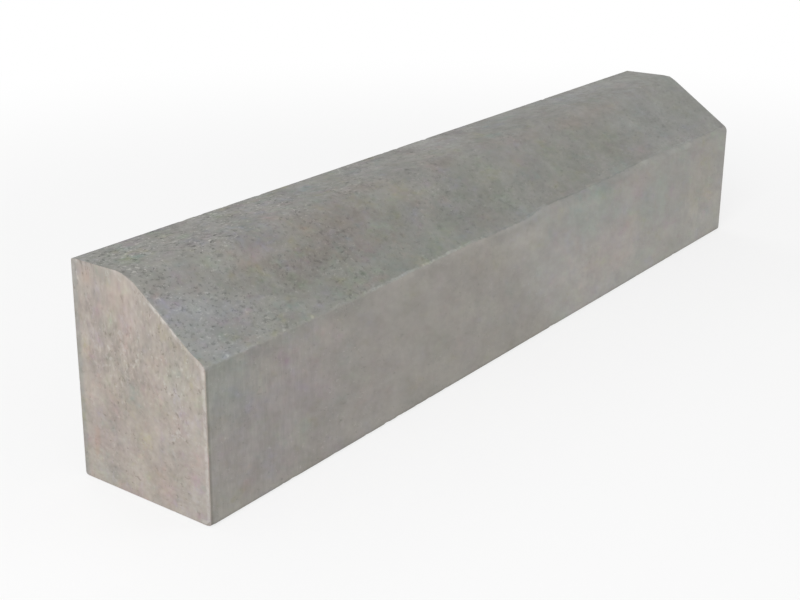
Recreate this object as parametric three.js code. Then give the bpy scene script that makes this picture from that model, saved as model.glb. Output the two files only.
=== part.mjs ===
// A concrete kerb stone with a splayed top: one cast block.
// Millimetres, +Z up. X runs along the stone, -Y is the road side and +Y the footpath side.
// The origin is the middle of the base.

import * as THREE from "three";

// Overall size.
const LENGTH = 1000;
const WIDTH = 150;
const HEIGHT = 200;

// Section: a level top along the back, a splay, and an upright front.
const TOP_FLAT = 65;
const FRONT_HEIGHT = 140;

// Edge radii. Each is larger than END_ARRIS, so that every edge stays round at the ends.
const BASE_RADIUS = 3;
const BACK_RADIUS = 2;
const KNEE_RADIUS = 40;
const NOSE_RADIUS = 8;
const END_ARRIS = 1.5;

// How finely the rounded edges are cut.
const ARC_DIVISIONS = 4;
const ARRIS_STEPS = 3;

// The corners of the section before rounding, anticlockwise with +Y to the right and +Z up.
function sectionCorners() {
  const front = -WIDTH / 2;
  const back = WIDTH / 2;
  return [
    { at: new THREE.Vector2(front, 0), radius: BASE_RADIUS },
    { at: new THREE.Vector2(back, 0), radius: BASE_RADIUS },
    { at: new THREE.Vector2(back, HEIGHT), radius: BACK_RADIUS },
    { at: new THREE.Vector2(back - TOP_FLAT, HEIGHT), radius: KNEE_RADIUS },
    { at: new THREE.Vector2(front, FRONT_HEIGHT), radius: NOSE_RADIUS },
  ];
}

// Adds to an anticlockwise outline the arc that rounds one of its convex corners.
function addRoundedCorner(outline, before, corner, after) {
  const edgeIn = corner.at.clone().sub(before).normalize();
  const edgeOut = after.clone().sub(corner.at).normalize();
  const inward = new THREE.Vector2(-edgeIn.y, edgeIn.x);
  const setback = corner.radius * Math.tan(edgeIn.angleTo(edgeOut) / 2);
  const centre = corner.at.clone();
  centre.addScaledVector(edgeIn, -setback);
  centre.addScaledVector(inward, corner.radius);
  const startAngle = edgeIn.angle() - Math.PI / 2;
  const endAngle = edgeOut.angle() - Math.PI / 2;
  outline.absarc(centre.x, centre.y, corner.radius, startAngle, endAngle, false);
}

// The section of the stone, the same along its whole length.
function kerbSection() {
  const corners = sectionCorners();
  const outline = new THREE.Shape();
  corners.forEach((corner, index) => {
    const before = corners.at(index - 1).at;
    const after = corners[(index + 1) % corners.length].at;
    addRoundedCorner(outline, before, corner, after);
  });
  outline.closePath();
  return outline;
}

const concrete = new THREE.MeshStandardMaterial({
  color: 0x94918a,
  roughness: 0.92,
  metalness: 0,
});

// The section drawn out along X, with a small round arris at both ends.
function kerbStone() {
  const geometry = new THREE.ExtrudeGeometry(kerbSection(), {
    depth: LENGTH - 2 * END_ARRIS,
    curveSegments: ARC_DIVISIONS,
    bevelEnabled: true,
    bevelThickness: END_ARRIS,
    bevelSize: END_ARRIS,
    bevelOffset: -END_ARRIS,
    bevelSegments: ARRIS_STEPS,
  });
  const stone = new THREE.Mesh(geometry, concrete);
  stone.name = "kerb_stone";
  stone.rotation.set(Math.PI / 2, Math.PI / 2, 0);
  stone.position.x = -LENGTH / 2 + END_ARRIS;
  return stone;
}

const group = new THREE.Group();
group.add(kerbStone());

export default group;
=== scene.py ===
import math
import random

import bmesh
import bpy
from bpy.props import FloatProperty, FloatVectorProperty, IntProperty, PointerProperty
from bpy.types import NodeSocket, Operator, Panel, PropertyGroup
from mathutils import Matrix, Vector, kdtree, noise


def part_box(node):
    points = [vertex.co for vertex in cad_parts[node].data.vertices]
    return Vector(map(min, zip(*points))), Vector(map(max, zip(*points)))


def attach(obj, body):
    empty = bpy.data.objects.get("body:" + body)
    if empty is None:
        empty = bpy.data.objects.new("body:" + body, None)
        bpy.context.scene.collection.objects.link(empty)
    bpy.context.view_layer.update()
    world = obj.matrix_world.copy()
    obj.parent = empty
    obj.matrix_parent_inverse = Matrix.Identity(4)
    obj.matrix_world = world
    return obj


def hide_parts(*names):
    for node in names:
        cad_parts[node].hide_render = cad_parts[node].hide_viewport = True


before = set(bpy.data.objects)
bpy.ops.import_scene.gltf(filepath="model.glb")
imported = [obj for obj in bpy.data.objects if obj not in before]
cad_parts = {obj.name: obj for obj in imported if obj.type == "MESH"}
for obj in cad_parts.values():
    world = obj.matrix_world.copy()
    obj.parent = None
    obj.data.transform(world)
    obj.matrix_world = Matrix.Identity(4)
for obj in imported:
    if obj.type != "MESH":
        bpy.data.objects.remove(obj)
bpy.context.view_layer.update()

bl_info = {
    "name": "Kerb Stone",
    "version": (1, 0, 0),
    "blender": (4, 5, 0),
    "location": "View3D > Sidebar > Kerb Stone",
    "description": "Builds a cast kerb stone with a splayed top, and the studio it lies in",
    "category": "Object",
}

MM = 0.001
CAD_NODE = "kerb_stone"
BODY = "root"
STONE_NAME = "kerb_stone_cast"

NODE_LOW, NODE_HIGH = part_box(CAD_NODE)
NODE_SIZE = NODE_HIGH - NODE_LOW


# ---------------------------------------------------------------- settings


class KerbSizes(PropertyGroup):
    """The block's section and length, and how finely its surface is cut."""

    length: FloatProperty(
        name="Length",
        description="Length of the stone along X",
        default=NODE_SIZE.x,
        min=0.2,
        unit="LENGTH",
    )
    width: FloatProperty(
        name="Width",
        description="Width of the base, from the road side to the footpath side",
        default=NODE_SIZE.y,
        min=0.05,
        unit="LENGTH",
    )
    height: FloatProperty(
        name="Height",
        description="Height of the back face",
        default=NODE_SIZE.z,
        min=0.05,
        unit="LENGTH",
    )
    top_flat: FloatProperty(
        name="Level top",
        description="Width of the level top along the back",
        default=65 * MM,
        unit="LENGTH",
    )
    front_height: FloatProperty(
        name="Front height",
        description="Height of the upright front, up to the splay",
        default=140 * MM,
        unit="LENGTH",
    )
    base_radius: FloatProperty(
        name="Base radius",
        description="Radius of the two long edges of the base",
        default=3 * MM,
        unit="LENGTH",
    )
    back_radius: FloatProperty(
        name="Back radius",
        description="Radius of the long edge between top and back",
        default=2 * MM,
        unit="LENGTH",
    )
    knee_radius: FloatProperty(
        name="Knee radius",
        description="Radius between the level top and the splay",
        default=40 * MM,
        unit="LENGTH",
    )
    nose_radius: FloatProperty(
        name="Nose radius",
        description="Radius between the splay and the front",
        default=8 * MM,
        unit="LENGTH",
    )
    end_arris: FloatProperty(
        name="End arris",
        description="Radius of the arris round both ends",
        default=1.5 * MM,
        unit="LENGTH",
    )
    step: FloatProperty(
        name="Surface step",
        description="Distance between the cuts that carry the relief",
        default=2.65 * MM,
        min=0.5 * MM,
        unit="LENGTH",
    )
    back_step: FloatProperty(
        name="Back step",
        description="Distance between the cuts up the back face",
        default=6 * MM,
        min=0.5 * MM,
        unit="LENGTH",
    )
    base_step: FloatProperty(
        name="Base step",
        description="Distance between the cuts across the base",
        default=24 * MM,
        min=0.5 * MM,
        unit="LENGTH",
    )


class KerbRelief(PropertyGroup):
    """How far the cast surface departs from true flats."""

    seed: IntProperty(name="Seed", description="Chooses where holes and chips fall", default=7)
    waviness: FloatProperty(
        name="Waviness",
        description="Depth of the slow waves left by the mould and the float",
        default=0.35 * MM,
        unit="LENGTH",
    )
    roughness: FloatProperty(
        name="Roughness",
        description="Depth of the coarse texture of the top and the splay",
        default=0.45 * MM,
        unit="LENGTH",
    )
    form_roughness: FloatProperty(
        name="Formed roughness",
        description="Depth of the fine texture of the faces cast against the mould",
        default=0.12 * MM,
        unit="LENGTH",
    )
    low_splay: FloatProperty(
        name="Low splay",
        description="How far the foot of the splay lies low at the left end",
        default=1.8 * MM,
        unit="LENGTH",
    )
    crisp_knee: FloatProperty(
        name="Crisp knee",
        description="How much of the knee's rounding is missing at the right end",
        default=0.7,
        min=0.0,
        max=1.0,
    )
    lip_height: FloatProperty(
        name="Lip height",
        description="Height of the thin lip that the mould's top edge left along the nose",
        default=0.6 * MM,
        unit="LENGTH",
    )
    lip_wander: FloatProperty(
        name="Lip wander",
        description="How far the lip wanders up and down along the nose",
        default=1.6 * MM,
        unit="LENGTH",
    )
    hole_count: IntProperty(name="Air holes", description="Number of open air holes", default=45)
    chip_count: IntProperty(
        name="Chips", description="Number of small chips along the arrises", default=45
    )


class KerbFinish(PropertyGroup):
    """Colours of the concrete."""

    weathered: FloatVectorProperty(
        name="Top and splay",
        description="Colour of the rough top and splay",
        default=(0.250, 0.247, 0.229, 1.0),
        size=4,
        subtype="COLOR",
    )
    formed: FloatVectorProperty(
        name="Formed faces",
        description="Colour of the front, back and base",
        default=(0.288, 0.273, 0.249, 1.0),
        size=4,
        subtype="COLOR",
    )
    # The ends are the same concrete as the front. Their paler colour is partly their own tone and
    # partly painted light, for the stronger light that falls on the left end.
    end: FloatVectorProperty(
        name="Ends",
        description="Colour of the two ends",
        default=(0.335, 0.300, 0.268, 1.0),
        size=4,
        subtype="COLOR",
    )
    pit: FloatVectorProperty(
        name="Pits",
        description="Colour inside pits and air holes",
        default=(0.090, 0.094, 0.086, 1.0),
        size=4,
        subtype="COLOR",
    )
    sand: FloatVectorProperty(
        name="Sand grains",
        description="Colour of pale sand grains",
        default=(0.520, 0.510, 0.470, 1.0),
        size=4,
        subtype="COLOR",
    )
    end_pit: FloatVectorProperty(
        name="End pits",
        description="Colour in the pits of the ends",
        default=(0.140, 0.108, 0.086, 1.0),
        size=4,
        subtype="COLOR",
    )
    # The pale arris colour is partly rubbed concrete and partly painted highlight where the
    # arrises catch the light.
    worn_and_highlit: FloatVectorProperty(
        name="Worn arris",
        description="Colour of the rubbed arrises of the ends",
        default=(0.560, 0.540, 0.515, 1.0),
        size=4,
        subtype="COLOR",
    )


class KerbStage(PropertyGroup):
    """The floor, the lamps and the camera."""

    floor_size: FloatProperty(
        name="Floor", description="Side of the floor", default=12.0, unit="LENGTH"
    )
    floor_colour: FloatVectorProperty(
        name="Floor colour",
        description="Colour of the floor",
        default=(0.82, 0.82, 0.82, 1.0),
        size=4,
        subtype="COLOR",
    )
    sky_strength: FloatProperty(name="Sky", description="Strength of the even light", default=0.55)
    key_power: FloatProperty(
        name="Key lamp",
        description="Power of the lamp by the left end",
        default=85.0,
        unit="POWER",
    )
    fill_power: FloatProperty(
        name="Fill lamp",
        description="Power of the lamp before the right end",
        default=13.0,
        unit="POWER",
    )
    back_power: FloatProperty(
        name="Back lamp", description="Power of the lamp behind", default=17.0, unit="POWER"
    )
    camera_place: FloatVectorProperty(
        name="Camera",
        description="Where the camera stands",
        default=(-1.1874, -0.7484, 0.5553),
        subtype="TRANSLATION",
        unit="LENGTH",
    )
    camera_heading: FloatProperty(
        name="Heading",
        description="The way the camera faces, from +X towards +Y",
        default=math.radians(39.045),
        subtype="ANGLE",
    )
    camera_dip: FloatProperty(
        name="Dip",
        description="How far the camera looks down",
        default=math.radians(18.544),
        subtype="ANGLE",
    )
    camera_roll: FloatProperty(
        name="Roll",
        description="How far the camera is rolled",
        default=math.radians(-0.635),
        subtype="ANGLE",
    )
    camera_lens: FloatProperty(
        name="Lens", description="Focal length of the camera in millimetres", default=60.49
    )
    camera_shift: FloatVectorProperty(
        name="Shift",
        description="How far the picture is shifted, as shares of its width",
        default=(0.10, -0.06),
        size=2,
    )


# ---------------------------------------------------------------- the block

# Axes and the knee's corner by number.
ACROSS = 1
UP = 2
KNEE = 3
# Points closer than this are one place, and a cut uses a vertex that lies closer than the second.
SAME_PLACE = 0.01 * MM
CUT_REACH = 0.02 * MM
# Segments of a rounding for each surface step that it takes up, and the fewest it may have.
SEGMENTS_PER_STEP = 1.6
FEWEST_SEGMENTS = 3
ARRIS_SEGMENTS = 3
# How far a face's normal points to the side it belongs to: an end, the roof, a square flat.
END_TILT = 0.3
ROOF_TILT = 0.5
ROOF_LEAN = 0.1
SQUARE = 0.999


def section_corners(sizes):
    """The five corners of the section as (y, z), anticlockwise from the foot of the front."""
    half = sizes.width / 2
    return [
        Vector((-half, 0.0)),
        Vector((half, 0.0)),
        Vector((half, sizes.height)),
        Vector((half - sizes.top_flat, sizes.height)),
        Vector((-half, sizes.front_height)),
    ]


def corner_radii(sizes):
    """The radius of each corner that section_corners gives."""
    return [
        sizes.base_radius,
        sizes.base_radius,
        sizes.back_radius,
        sizes.knee_radius,
        sizes.nose_radius,
    ]


def corner_setback(corners, index, radius):
    """How far from a corner its rounding starts, along both of its sides."""
    corner = corners[index]
    before = (corners[index - 1] - corner).normalized()
    after = (corners[(index + 1) % len(corners)] - corner).normalized()
    turn = math.pi - before.angle(after)
    return radius * math.tan(turn / 2)


def edges_at(bm, corner):
    """The long edges that run through a corner of the section."""
    found = []
    for edge in bm.edges:
        ends = [Vector((v.co.y, v.co.z)) for v in edge.verts]
        if all((end - corner).length < SAME_PLACE for end in ends):
            found.append(edge)
    return found


def edges_of_ends(bm, sizes):
    """The edges that run round the two ends."""
    half = sizes.length / 2
    found = []
    for edge in bm.edges:
        if all(abs(abs(v.co.x) - half) < SAME_PLACE for v in edge.verts):
            found.append(edge)
    return found


def raw_block(sizes):
    """The section drawn out along X, with sharp edges."""
    bm = bmesh.new()
    left = -sizes.length / 2
    outline = [bm.verts.new((left, c.x, c.y)) for c in section_corners(sizes)]
    section = bmesh.ops.contextual_create(bm, geom=outline)["faces"][0]
    drawn = bmesh.ops.extrude_face_region(bm, geom=[section])
    far_end = [part for part in drawn["geom"] if isinstance(part, bmesh.types.BMVert)]
    bmesh.ops.translate(bm, verts=far_end, vec=(sizes.length, 0.0, 0.0))
    bmesh.ops.recalc_face_normals(bm, faces=bm.faces)
    return bm


def round_over(bm, edges, setback, segments):
    """Rounds edges, starting at a distance from them on both sides."""
    bmesh.ops.bevel(
        bm,
        geom=edges,
        offset=setback,
        offset_type="OFFSET",
        affect="EDGES",
        segments=segments,
        profile=0.5,
        material=-1,
        clamp_overlap=True,
    )


def round_edges(bm, sizes):
    """Rounds the five long edges, each with its own radius, then the arris round both ends."""
    corners = section_corners(sizes)
    for index, radius in enumerate(corner_radii(sizes)):
        setback = corner_setback(corners, index, radius)
        segments = max(FEWEST_SEGMENTS, round(SEGMENTS_PER_STEP * setback / sizes.step))
        round_over(bm, edges_at(bm, corners[index]), setback, segments)
    round_over(bm, edges_of_ends(bm, sizes), sizes.end_arris, ARRIS_SEGMENTS)


def spaced(low, high, step):
    """Even places between two ends, about a step apart, with both ends left out."""
    count = max(1, round((high - low) / step))
    return [low + (high - low) * k / count for k in range(1, count)]


def cut_faces(bm, wanted, axis, places):
    """Cuts the faces that the test wants with planes across an axis."""
    normal = Vector((0.0, 0.0, 0.0))
    normal[axis] = 1.0
    for place in places:
        faces = [f for f in bm.faces if wanted(f)]
        geometry = dict.fromkeys(faces)
        for face in faces:
            geometry.update(dict.fromkeys(face.edges))
            geometry.update(dict.fromkeys(face.verts))
        bmesh.ops.bisect_plane(
            bm,
            geom=list(geometry),
            dist=CUT_REACH,
            plane_co=normal * place,
            plane_no=normal,
        )


def is_end(face):
    """One of the two ends, with the outer half of its arris."""
    return abs(face.normal.x) > END_TILT


def is_roof(face):
    """The level top, the splay, or the rounding between them."""
    return face.normal.z > ROOF_TILT and abs(face.normal.x) < ROOF_LEAN


def is_front(face):
    """The upright front."""
    return face.normal.y < -SQUARE


def is_back(face):
    """The back."""
    return face.normal.y > SQUARE


def is_base(face):
    """The base."""
    return face.normal.z < -SQUARE


def cut_surface(bm, sizes):
    """Cuts the flats into rows, and the whole length into columns."""
    corners = section_corners(sizes)
    _, back_foot, back_top, knee, nose = corners
    setbacks = [corner_setback(corners, i, r) for i, r in enumerate(corner_radii(sizes))]
    front_foot_round, back_foot_round, back_top_round, knee_round, nose_round = setbacks
    slope = (knee - nose).normalized()
    splay_low = nose + slope * nose_round
    splay_high = knee - slope * knee_round
    top_start = knee.x + knee_round
    back_end = back_top.y - back_top_round

    splay_rows = spaced(splay_low.x, splay_high.x, sizes.step * slope.x)
    top_rows = spaced(top_start, back_top.x - back_top_round, sizes.step)
    knee_rows = spaced(splay_high.x, top_start, sizes.step)
    front_rows = spaced(front_foot_round, nose.y - nose_round, sizes.step)
    splay_heights = [nose.y + (y - nose.x) * slope.y / slope.x for y in splay_rows]
    high_rows = spaced(splay_heights[-1], back_end, sizes.step)
    nose_rows = spaced(front_rows[-1], splay_heights[0], sizes.step)
    back_rows = spaced(back_foot_round, back_end, sizes.back_step)
    base_rows = spaced(nose.x + front_foot_round, back_foot.x - back_foot_round, sizes.base_step)

    cut_faces(bm, lambda f: is_roof(f) or is_end(f), ACROSS, splay_rows + top_rows)
    cut_faces(bm, is_end, ACROSS, knee_rows)
    cut_faces(bm, lambda f: is_front(f) or is_end(f), UP, front_rows)
    cut_faces(bm, is_end, UP, nose_rows + splay_heights[::2] + high_rows)
    cut_faces(bm, is_back, UP, back_rows)
    cut_faces(bm, is_base, ACROSS, base_rows)

    long_edges = [e for e in bm.edges if e.calc_length() > sizes.length / 2]
    columns = round(sizes.length / sizes.step)
    bmesh.ops.subdivide_edges(bm, edges=long_edges, cuts=columns - 1, use_grid_fill=True)
    bmesh.ops.remove_doubles(bm, verts=bm.verts, dist=SAME_PLACE)
    bmesh.ops.recalc_face_normals(bm, faces=bm.faces)


# ---------------------------------------------------------------- relief

# A fade is where it starts, where it ends, and the values before and after.

# Sizes of the slow waves and of the two sizes of texture, the texture's shares, and places in the
# noise that lie well apart.
WAVE_SIZE = 0.11
COARSE_SIZE = 0.014
COARSE_SHARE = 0.4
COARSE_OFFSET = Vector((5.0, 0.0, 0.0))
GRITTY_SIZE = 0.0045
GRITTY_SHARE = 0.6
GRITTY_OFFSET = Vector((0.0, 9.0, 0.0))
NOISE_SPREAD = 0.6
ROUGH_END_FADE = (-0.35, 0.10, 1.0, 0.5)
ROUGH_NOSE_FADE = (-1.0 * MM, 2.0 * MM)
ROUGH_BACK_FADE = (-0.5 * MM, 1.0 * MM)

# The lip's wander: two waves with their shares and rows of the noise, and how far it lies low.
SLOW_WANDER_SIZE = 0.11
SLOW_WANDER_SHARE = 0.7
SLOW_WANDER_ROW = 3.7
QUICK_WANDER_SIZE = 0.028
QUICK_WANDER_SHARE = 0.3
QUICK_WANDER_ROW = 8.1
WANDER_FADE = (-0.30, -0.10, 0.35, 1.0)
LIP_DROP = 0.5 * MM

# The lip's height: its gaps, where it starts and fades, and its own small section.
LIP_GAP_SIZE = 0.03
LIP_GAP_ROW = 0.3
LIP_GAP_FADE = (0.25, 0.75)
LIP_START_FADE = (-0.32, -0.22)
LIP_END_FADE = (0.25, 0.42, 1.0, 0.3)
LIP_MIDDLE = 1.0 * MM
LIP_BREADTH = 1.8 * MM
LIP_FRONT_FADE = (-50 * MM, -40 * MM, 1.0, 0.0)

# The low foot of the splay at the left end, and the crisp knee at the right end.
LOW_SPLAY_FADE = (-0.50, -0.25, 1.0, 0.0)
LOW_SPLAY_RISE = (-72 * MM, -60 * MM)
LOW_SPLAY_FALL = (-56 * MM, -15 * MM, 1.0, 0.0)
CRISP_KNEE_FADE = (0.0, 0.42)
KNEE_SKIN = 3 * MM
DRIFT_DEPTH = 8 * MM

# Air holes and chips: how far from an arris they lie, their radius, and their depth in radii.
HOLE_CLEARANCE = 8 * MM
HOLE_RADII = (2.6, 4.2)
HOLE_DEPTHS = (0.2, 0.4)
CHIP_REACH = 1.2 * MM
CHIP_RADII = (2.6, 5.0)
CHIP_DEPTHS = (0.05, 0.13)
CHIP_FLOOR = (0.6, 0.8)
CHIP_FLOOR_SIZE = 0.003
# How much of the relief stays inside an air hole.
HOLE_RELIEF = 0.5
# The blunted foot of the front at the left end.
FOOT_CHIP_RADIUS = 5 * MM
FOOT_CHIP_DEPTH = 0.6 * MM
# The relief runs out towards the arrises, down to this share.
ARRIS_FADE = (0.0, 3 * MM, 0.35, 1.0)

# Open holes at known places on the splay: centre in metres, radius and depth.
SPLAY_HOLES = [
    ((-0.276, -0.0587, 0.1515), 3.6 * MM, 0.6 * MM),
    ((-0.470, -0.0500, 0.1576), 2.8 * MM, 0.5 * MM),
]
# Steps of the lip along the nose: rise, and start and end in metres.
LIP_STEPS = [
    (0.6 * MM, -0.320, -0.290),
    (0.9 * MM, -0.255, -0.225),
    (0.5 * MM, -0.172, -0.160),
    (0.6 * MM, -0.150, -0.136),
    (-1.0 * MM, -0.118, -0.080),
    (4.8 * MM, -0.010, 0.020),
    (-1.3 * MM, 0.045, 0.070),
    (0.8 * MM, 0.140, 0.165),
    (1.3 * MM, 0.190, 0.260),
    (0.8 * MM, 0.285, 0.300),
    (-2.6 * MM, 0.310, 0.400),
]

# Numbers stored on the surface for the finishes: the distances from the nearest arris, from the
# lip and from the back edge, and the shares of open holes and of chips.
STORED = ("arris", "nose_run", "back_run", "hollow", "chip")


class Block:
    """Measures of a point against the flats of the block."""

    def __init__(self, sizes, relief):
        self.half_length = sizes.length / 2
        self.half_width = sizes.width / 2
        self.height = sizes.height
        corners = section_corners(sizes)
        self.knee, self.nose = corners[KNEE:]
        self.knee_radius = sizes.knee_radius
        self.knee_setback = corner_setback(corners, KNEE, sizes.knee_radius)
        slope = (self.knee - self.nose).normalized()
        self.splay_normal = Vector((-slope.y, slope.x))
        self.knee_out = (self.splay_normal + Vector((0.0, 1.0))).normalized()
        tangent = (slope + Vector((0.0, 1.0))).normalized()
        self.nose_rise = tangent / tangent.y
        self.lip_wander = relief.lip_wander

    def flat_depths(self, point):
        """How deep a point lies under each flat. The top and the splay count as one."""
        return [
            point.z,
            self.half_width - point.y,
            min(self.height - point.z, self.splay_depth(point)),
            self.half_width + point.y,
            self.half_length + point.x,
            self.half_length - point.x,
        ]

    def splay_depth(self, point):
        """How deep a point lies under the splay."""
        return (self.nose - Vector((point.y, point.z))).dot(self.splay_normal)

    def lip_place(self, x):
        """How far above the nose corner the lip runs, at a place along the stone."""
        slow = noise.noise(Vector((x / SLOW_WANDER_SIZE, SLOW_WANDER_ROW, 0.0)))
        quick = noise.noise(Vector((x / QUICK_WANDER_SIZE, QUICK_WANDER_ROW, 0.0)))
        steps = sum(rise * smooth(x, start, end) for rise, start, end in LIP_STEPS)
        wander = self.lip_wander * smooth(x, *WANDER_FADE)
        return steps - LIP_DROP + wander * (SLOW_WANDER_SHARE * slow + QUICK_WANDER_SHARE * quick)

    def nose_run(self, point):
        """Distance up the section from the lip: above it on the splay, below it on the front."""
        section = Vector((point.y, point.z)) - self.nose
        return section.dot(self.nose_rise) - self.lip_place(point.x)

    def back_run(self, point):
        """Distance from the back edge: positive over the top, negative down the back."""
        return (self.half_width - point.y) - (self.height - point.z)

    def splay_foot(self, point):
        """1 on the foot of the splay at the left end, fading along the stone and with depth."""
        foot = smooth(point.y, *LOW_SPLAY_RISE) * smooth(point.y, *LOW_SPLAY_FALL)
        skin = math.exp(-max(0.0, self.splay_depth(point)) / DRIFT_DEPTH)
        return smooth(point.x, *LOW_SPLAY_FADE) * foot * skin

    def knee_gap(self, point):
        """Gap between the rounded knee and the sharp corner that it rounds, fading with depth."""
        section = Vector((point.y, point.z)) - self.knee
        depth = -section.dot(self.knee_out)
        along = abs(section.x * self.knee_out.y - section.y * self.knee_out.x)
        inside = max(0.0, self.knee_setback - along)
        skin = math.exp(-max(0.0, depth - KNEE_SKIN) / DRIFT_DEPTH)
        return skin * inside**2 / (2 * self.knee_radius)


def smooth(value, low, high, before=0.0, after=1.0):
    """An even curve from one value to another, held beyond both ends."""
    share = min(1.0, max(0.0, (value - low) / (high - low)))
    return before + (after - before) * (share * share * (3.0 - 2.0 * share))


def swell(point, size):
    """Slow noise from 0 to 1 with waves of about the given size."""
    return min(1.0, max(0.0, 0.5 + NOISE_SPREAD * noise.noise(point / size)))


def rough_share(block, point):
    """1 on the rough top and splay, 0 on the faces cast against the mould."""
    over_nose = smooth(block.nose_run(point), *ROUGH_NOSE_FADE)
    over_back = smooth(block.back_run(point), *ROUGH_BACK_FADE)
    return over_nose * over_back


def surface_depth(relief, point, rough):
    """Depth of the waves and the texture at a point, without holes and chips."""
    waves = relief.waviness * swell(point, WAVE_SIZE)
    coarse = swell(point + COARSE_OFFSET, COARSE_SIZE) * COARSE_SHARE
    gritty = swell(point + GRITTY_OFFSET, GRITTY_SIZE) * GRITTY_SHARE
    near_end = smooth(point.x, *ROUGH_END_FADE)
    depth = relief.roughness * rough * near_end + relief.form_roughness * (1.0 - rough)
    return waves + depth * (coarse + gritty)


def lip_rise(block, relief, point):
    """Height of the thin lip along the nose, which has gaps and stops short of the left end."""
    strength = smooth(swell(Vector((point.x, LIP_GAP_ROW, 0.0)), LIP_GAP_SIZE), *LIP_GAP_FADE)
    starts = smooth(point.x, *LIP_START_FADE)
    fades = smooth(point.x, *LIP_END_FADE)
    rise = math.exp(-(((block.nose_run(point) - LIP_MIDDLE) / LIP_BREADTH) ** 2))
    in_front = smooth(point.y, *LIP_FRONT_FADE)
    return relief.lip_height * strength * starts * fades * rise * in_front


def section_drift(block, relief, point):
    """Where the casting leaves the true section, as a small move across the stone.

    The foot of the splay lies a little low at the left end. The knee grows crisper to the right.
    """
    crisper = relief.crisp_knee * smooth(point.x, *CRISP_KNEE_FADE)
    move = block.knee_out * (crisper * block.knee_gap(point))
    move -= block.splay_normal * (relief.low_splay * block.splay_foot(point))
    return Vector((0.0, move.x, move.y))


def sink(tree, depths, hollows, centre, radius, depth):
    """Presses a rounded hollow into the vertices round a point."""
    for _, index, distance in tree.find_range(centre, radius):
        share = 1.0 - (distance / radius) ** 2
        depths[index] = max(depths[index], depths[index] * HOLE_RELIEF + depth * share)
        hollows[index] = max(hollows[index], share)


def bite(tree, depths, centre, radius, depth):
    """Breaks a chip with an uneven floor out of an arris."""
    least, spread = CHIP_FLOOR
    for co, index, distance in tree.find_range(centre, radius):
        share = 1.0 - (distance / radius) ** 2
        uneven = least + spread * swell(co, CHIP_FLOOR_SIZE)
        depths[index] = max(depths[index], depth * share * uneven)


def point_tree(points):
    """A tree that finds the points near a place."""
    tree = kdtree.KDTree(len(points))
    for index, point in enumerate(points):
        tree.insert(point, index)
    tree.balance()
    return tree


def random_point(chance, tree):
    """The point nearest to a random place in the block, whatever order the points came in."""
    place = [chance.uniform(low, high) for low, high in zip(NODE_LOW, NODE_HIGH)]
    return tree.find(place)[0]


def carve_relief(bm, sizes, relief):
    """Moves the surface inwards by its relief, and stores what the finishes follow."""
    block = Block(sizes, relief)
    layers = {name: bm.verts.layers.float.new(name) for name in STORED}
    bm.normal_update()
    bm.verts.ensure_lookup_table()
    vertices = bm.verts[:]
    points = [v.co.copy() for v in vertices]
    tree = point_tree(points)

    roughs = [rough_share(block, p) for p in points]
    arrises = [sorted(block.flat_depths(p))[1] for p in points]
    depths = [surface_depth(relief, p, r) for p, r in zip(points, roughs)]
    hollows = [0.0] * len(points)
    chips = [0.0] * len(points)

    chance = random.Random(relief.seed)
    open_faces = point_tree([p for p, a in zip(points, arrises) if a > HOLE_CLEARANCE])
    for _ in range(relief.hole_count):
        centre = random_point(chance, open_faces)
        radius = chance.uniform(*HOLE_RADII) * MM
        sink(tree, depths, hollows, centre, radius, radius * chance.uniform(*HOLE_DEPTHS))
    for centre, radius, depth in SPLAY_HOLES:
        sink(tree, depths, hollows, Vector(centre), radius, depth)

    on_arris = point_tree([p for p, a in zip(points, arrises) if a < CHIP_REACH])
    for _ in range(relief.chip_count):
        centre = random_point(chance, on_arris)
        radius = chance.uniform(*CHIP_RADII) * MM
        bite(tree, chips, centre, radius, radius * chance.uniform(*CHIP_DEPTHS))
    front_foot = Vector((-sizes.length / 2, -sizes.width / 2, 0.0))
    bite(tree, chips, front_foot, FOOT_CHIP_RADIUS, FOOT_CHIP_DEPTH)

    for index, vertex in enumerate(vertices):
        point = points[index]
        vertex[layers["arris"]] = arrises[index]
        vertex[layers["nose_run"]] = block.nose_run(point)
        vertex[layers["back_run"]] = block.back_run(point)
        vertex[layers["hollow"]] = hollows[index]
        vertex[layers["chip"]] = min(1.0, chips[index] / MM)
        depth = depths[index] * smooth(arrises[index], *ARRIS_FADE) + chips[index]
        rise = lip_rise(block, relief, point)
        drift = section_drift(block, relief, point)
        vertex.co = point + drift - vertex.normal * (depth - rise)


def keep_in_box(bm, low, high):
    """Holds every vertex inside the block's own box."""
    for vertex in bm.verts:
        for axis in range(3):
            vertex.co[axis] = min(high[axis], max(low[axis], vertex.co[axis]))


# ---------------------------------------------------------------- shader helpers

# Sockets of the Mix node by number, because those for numbers and for colours share their names.
MIX_SHARE = 0
MIX_NUMBERS = (2, 3)
MIX_NUMBER_OUT = 0
MIX_COLOURS = (6, 7)
MIX_COLOUR_OUT = 2

# A noise mostly runs from 0.25 to 0.75. This gain and shift make that -1 to 1.
SWING_GAIN = 4.0
SWING_SHIFT = -2.0


def fill(tree, socket, value):
    """Links a socket to another, or sets its own value."""
    if isinstance(value, NodeSocket):
        tree.links.new(value, socket)
    else:
        socket.default_value = value


def add_node(tree, kind, inputs=None, **settings):
    """Adds a node with its settings, and fills its inputs by name or by number."""
    node = tree.nodes.new(kind)
    for name, value in settings.items():
        setattr(node, name, value)
    for name, value in (inputs or {}).items():
        fill(tree, node.inputs[name], value)
    return node


def calc(tree, operation, *values, clamp=False):
    """One step of arithmetic."""
    inputs = dict(enumerate(values))
    node = add_node(tree, "ShaderNodeMath", inputs, operation=operation, use_clamp=clamp)
    return node.outputs[0]


def product(tree, first, *others):
    """Numbers multiplied together."""
    for other in others:
        first = calc(tree, "MULTIPLY", first, other)
    return first


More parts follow.
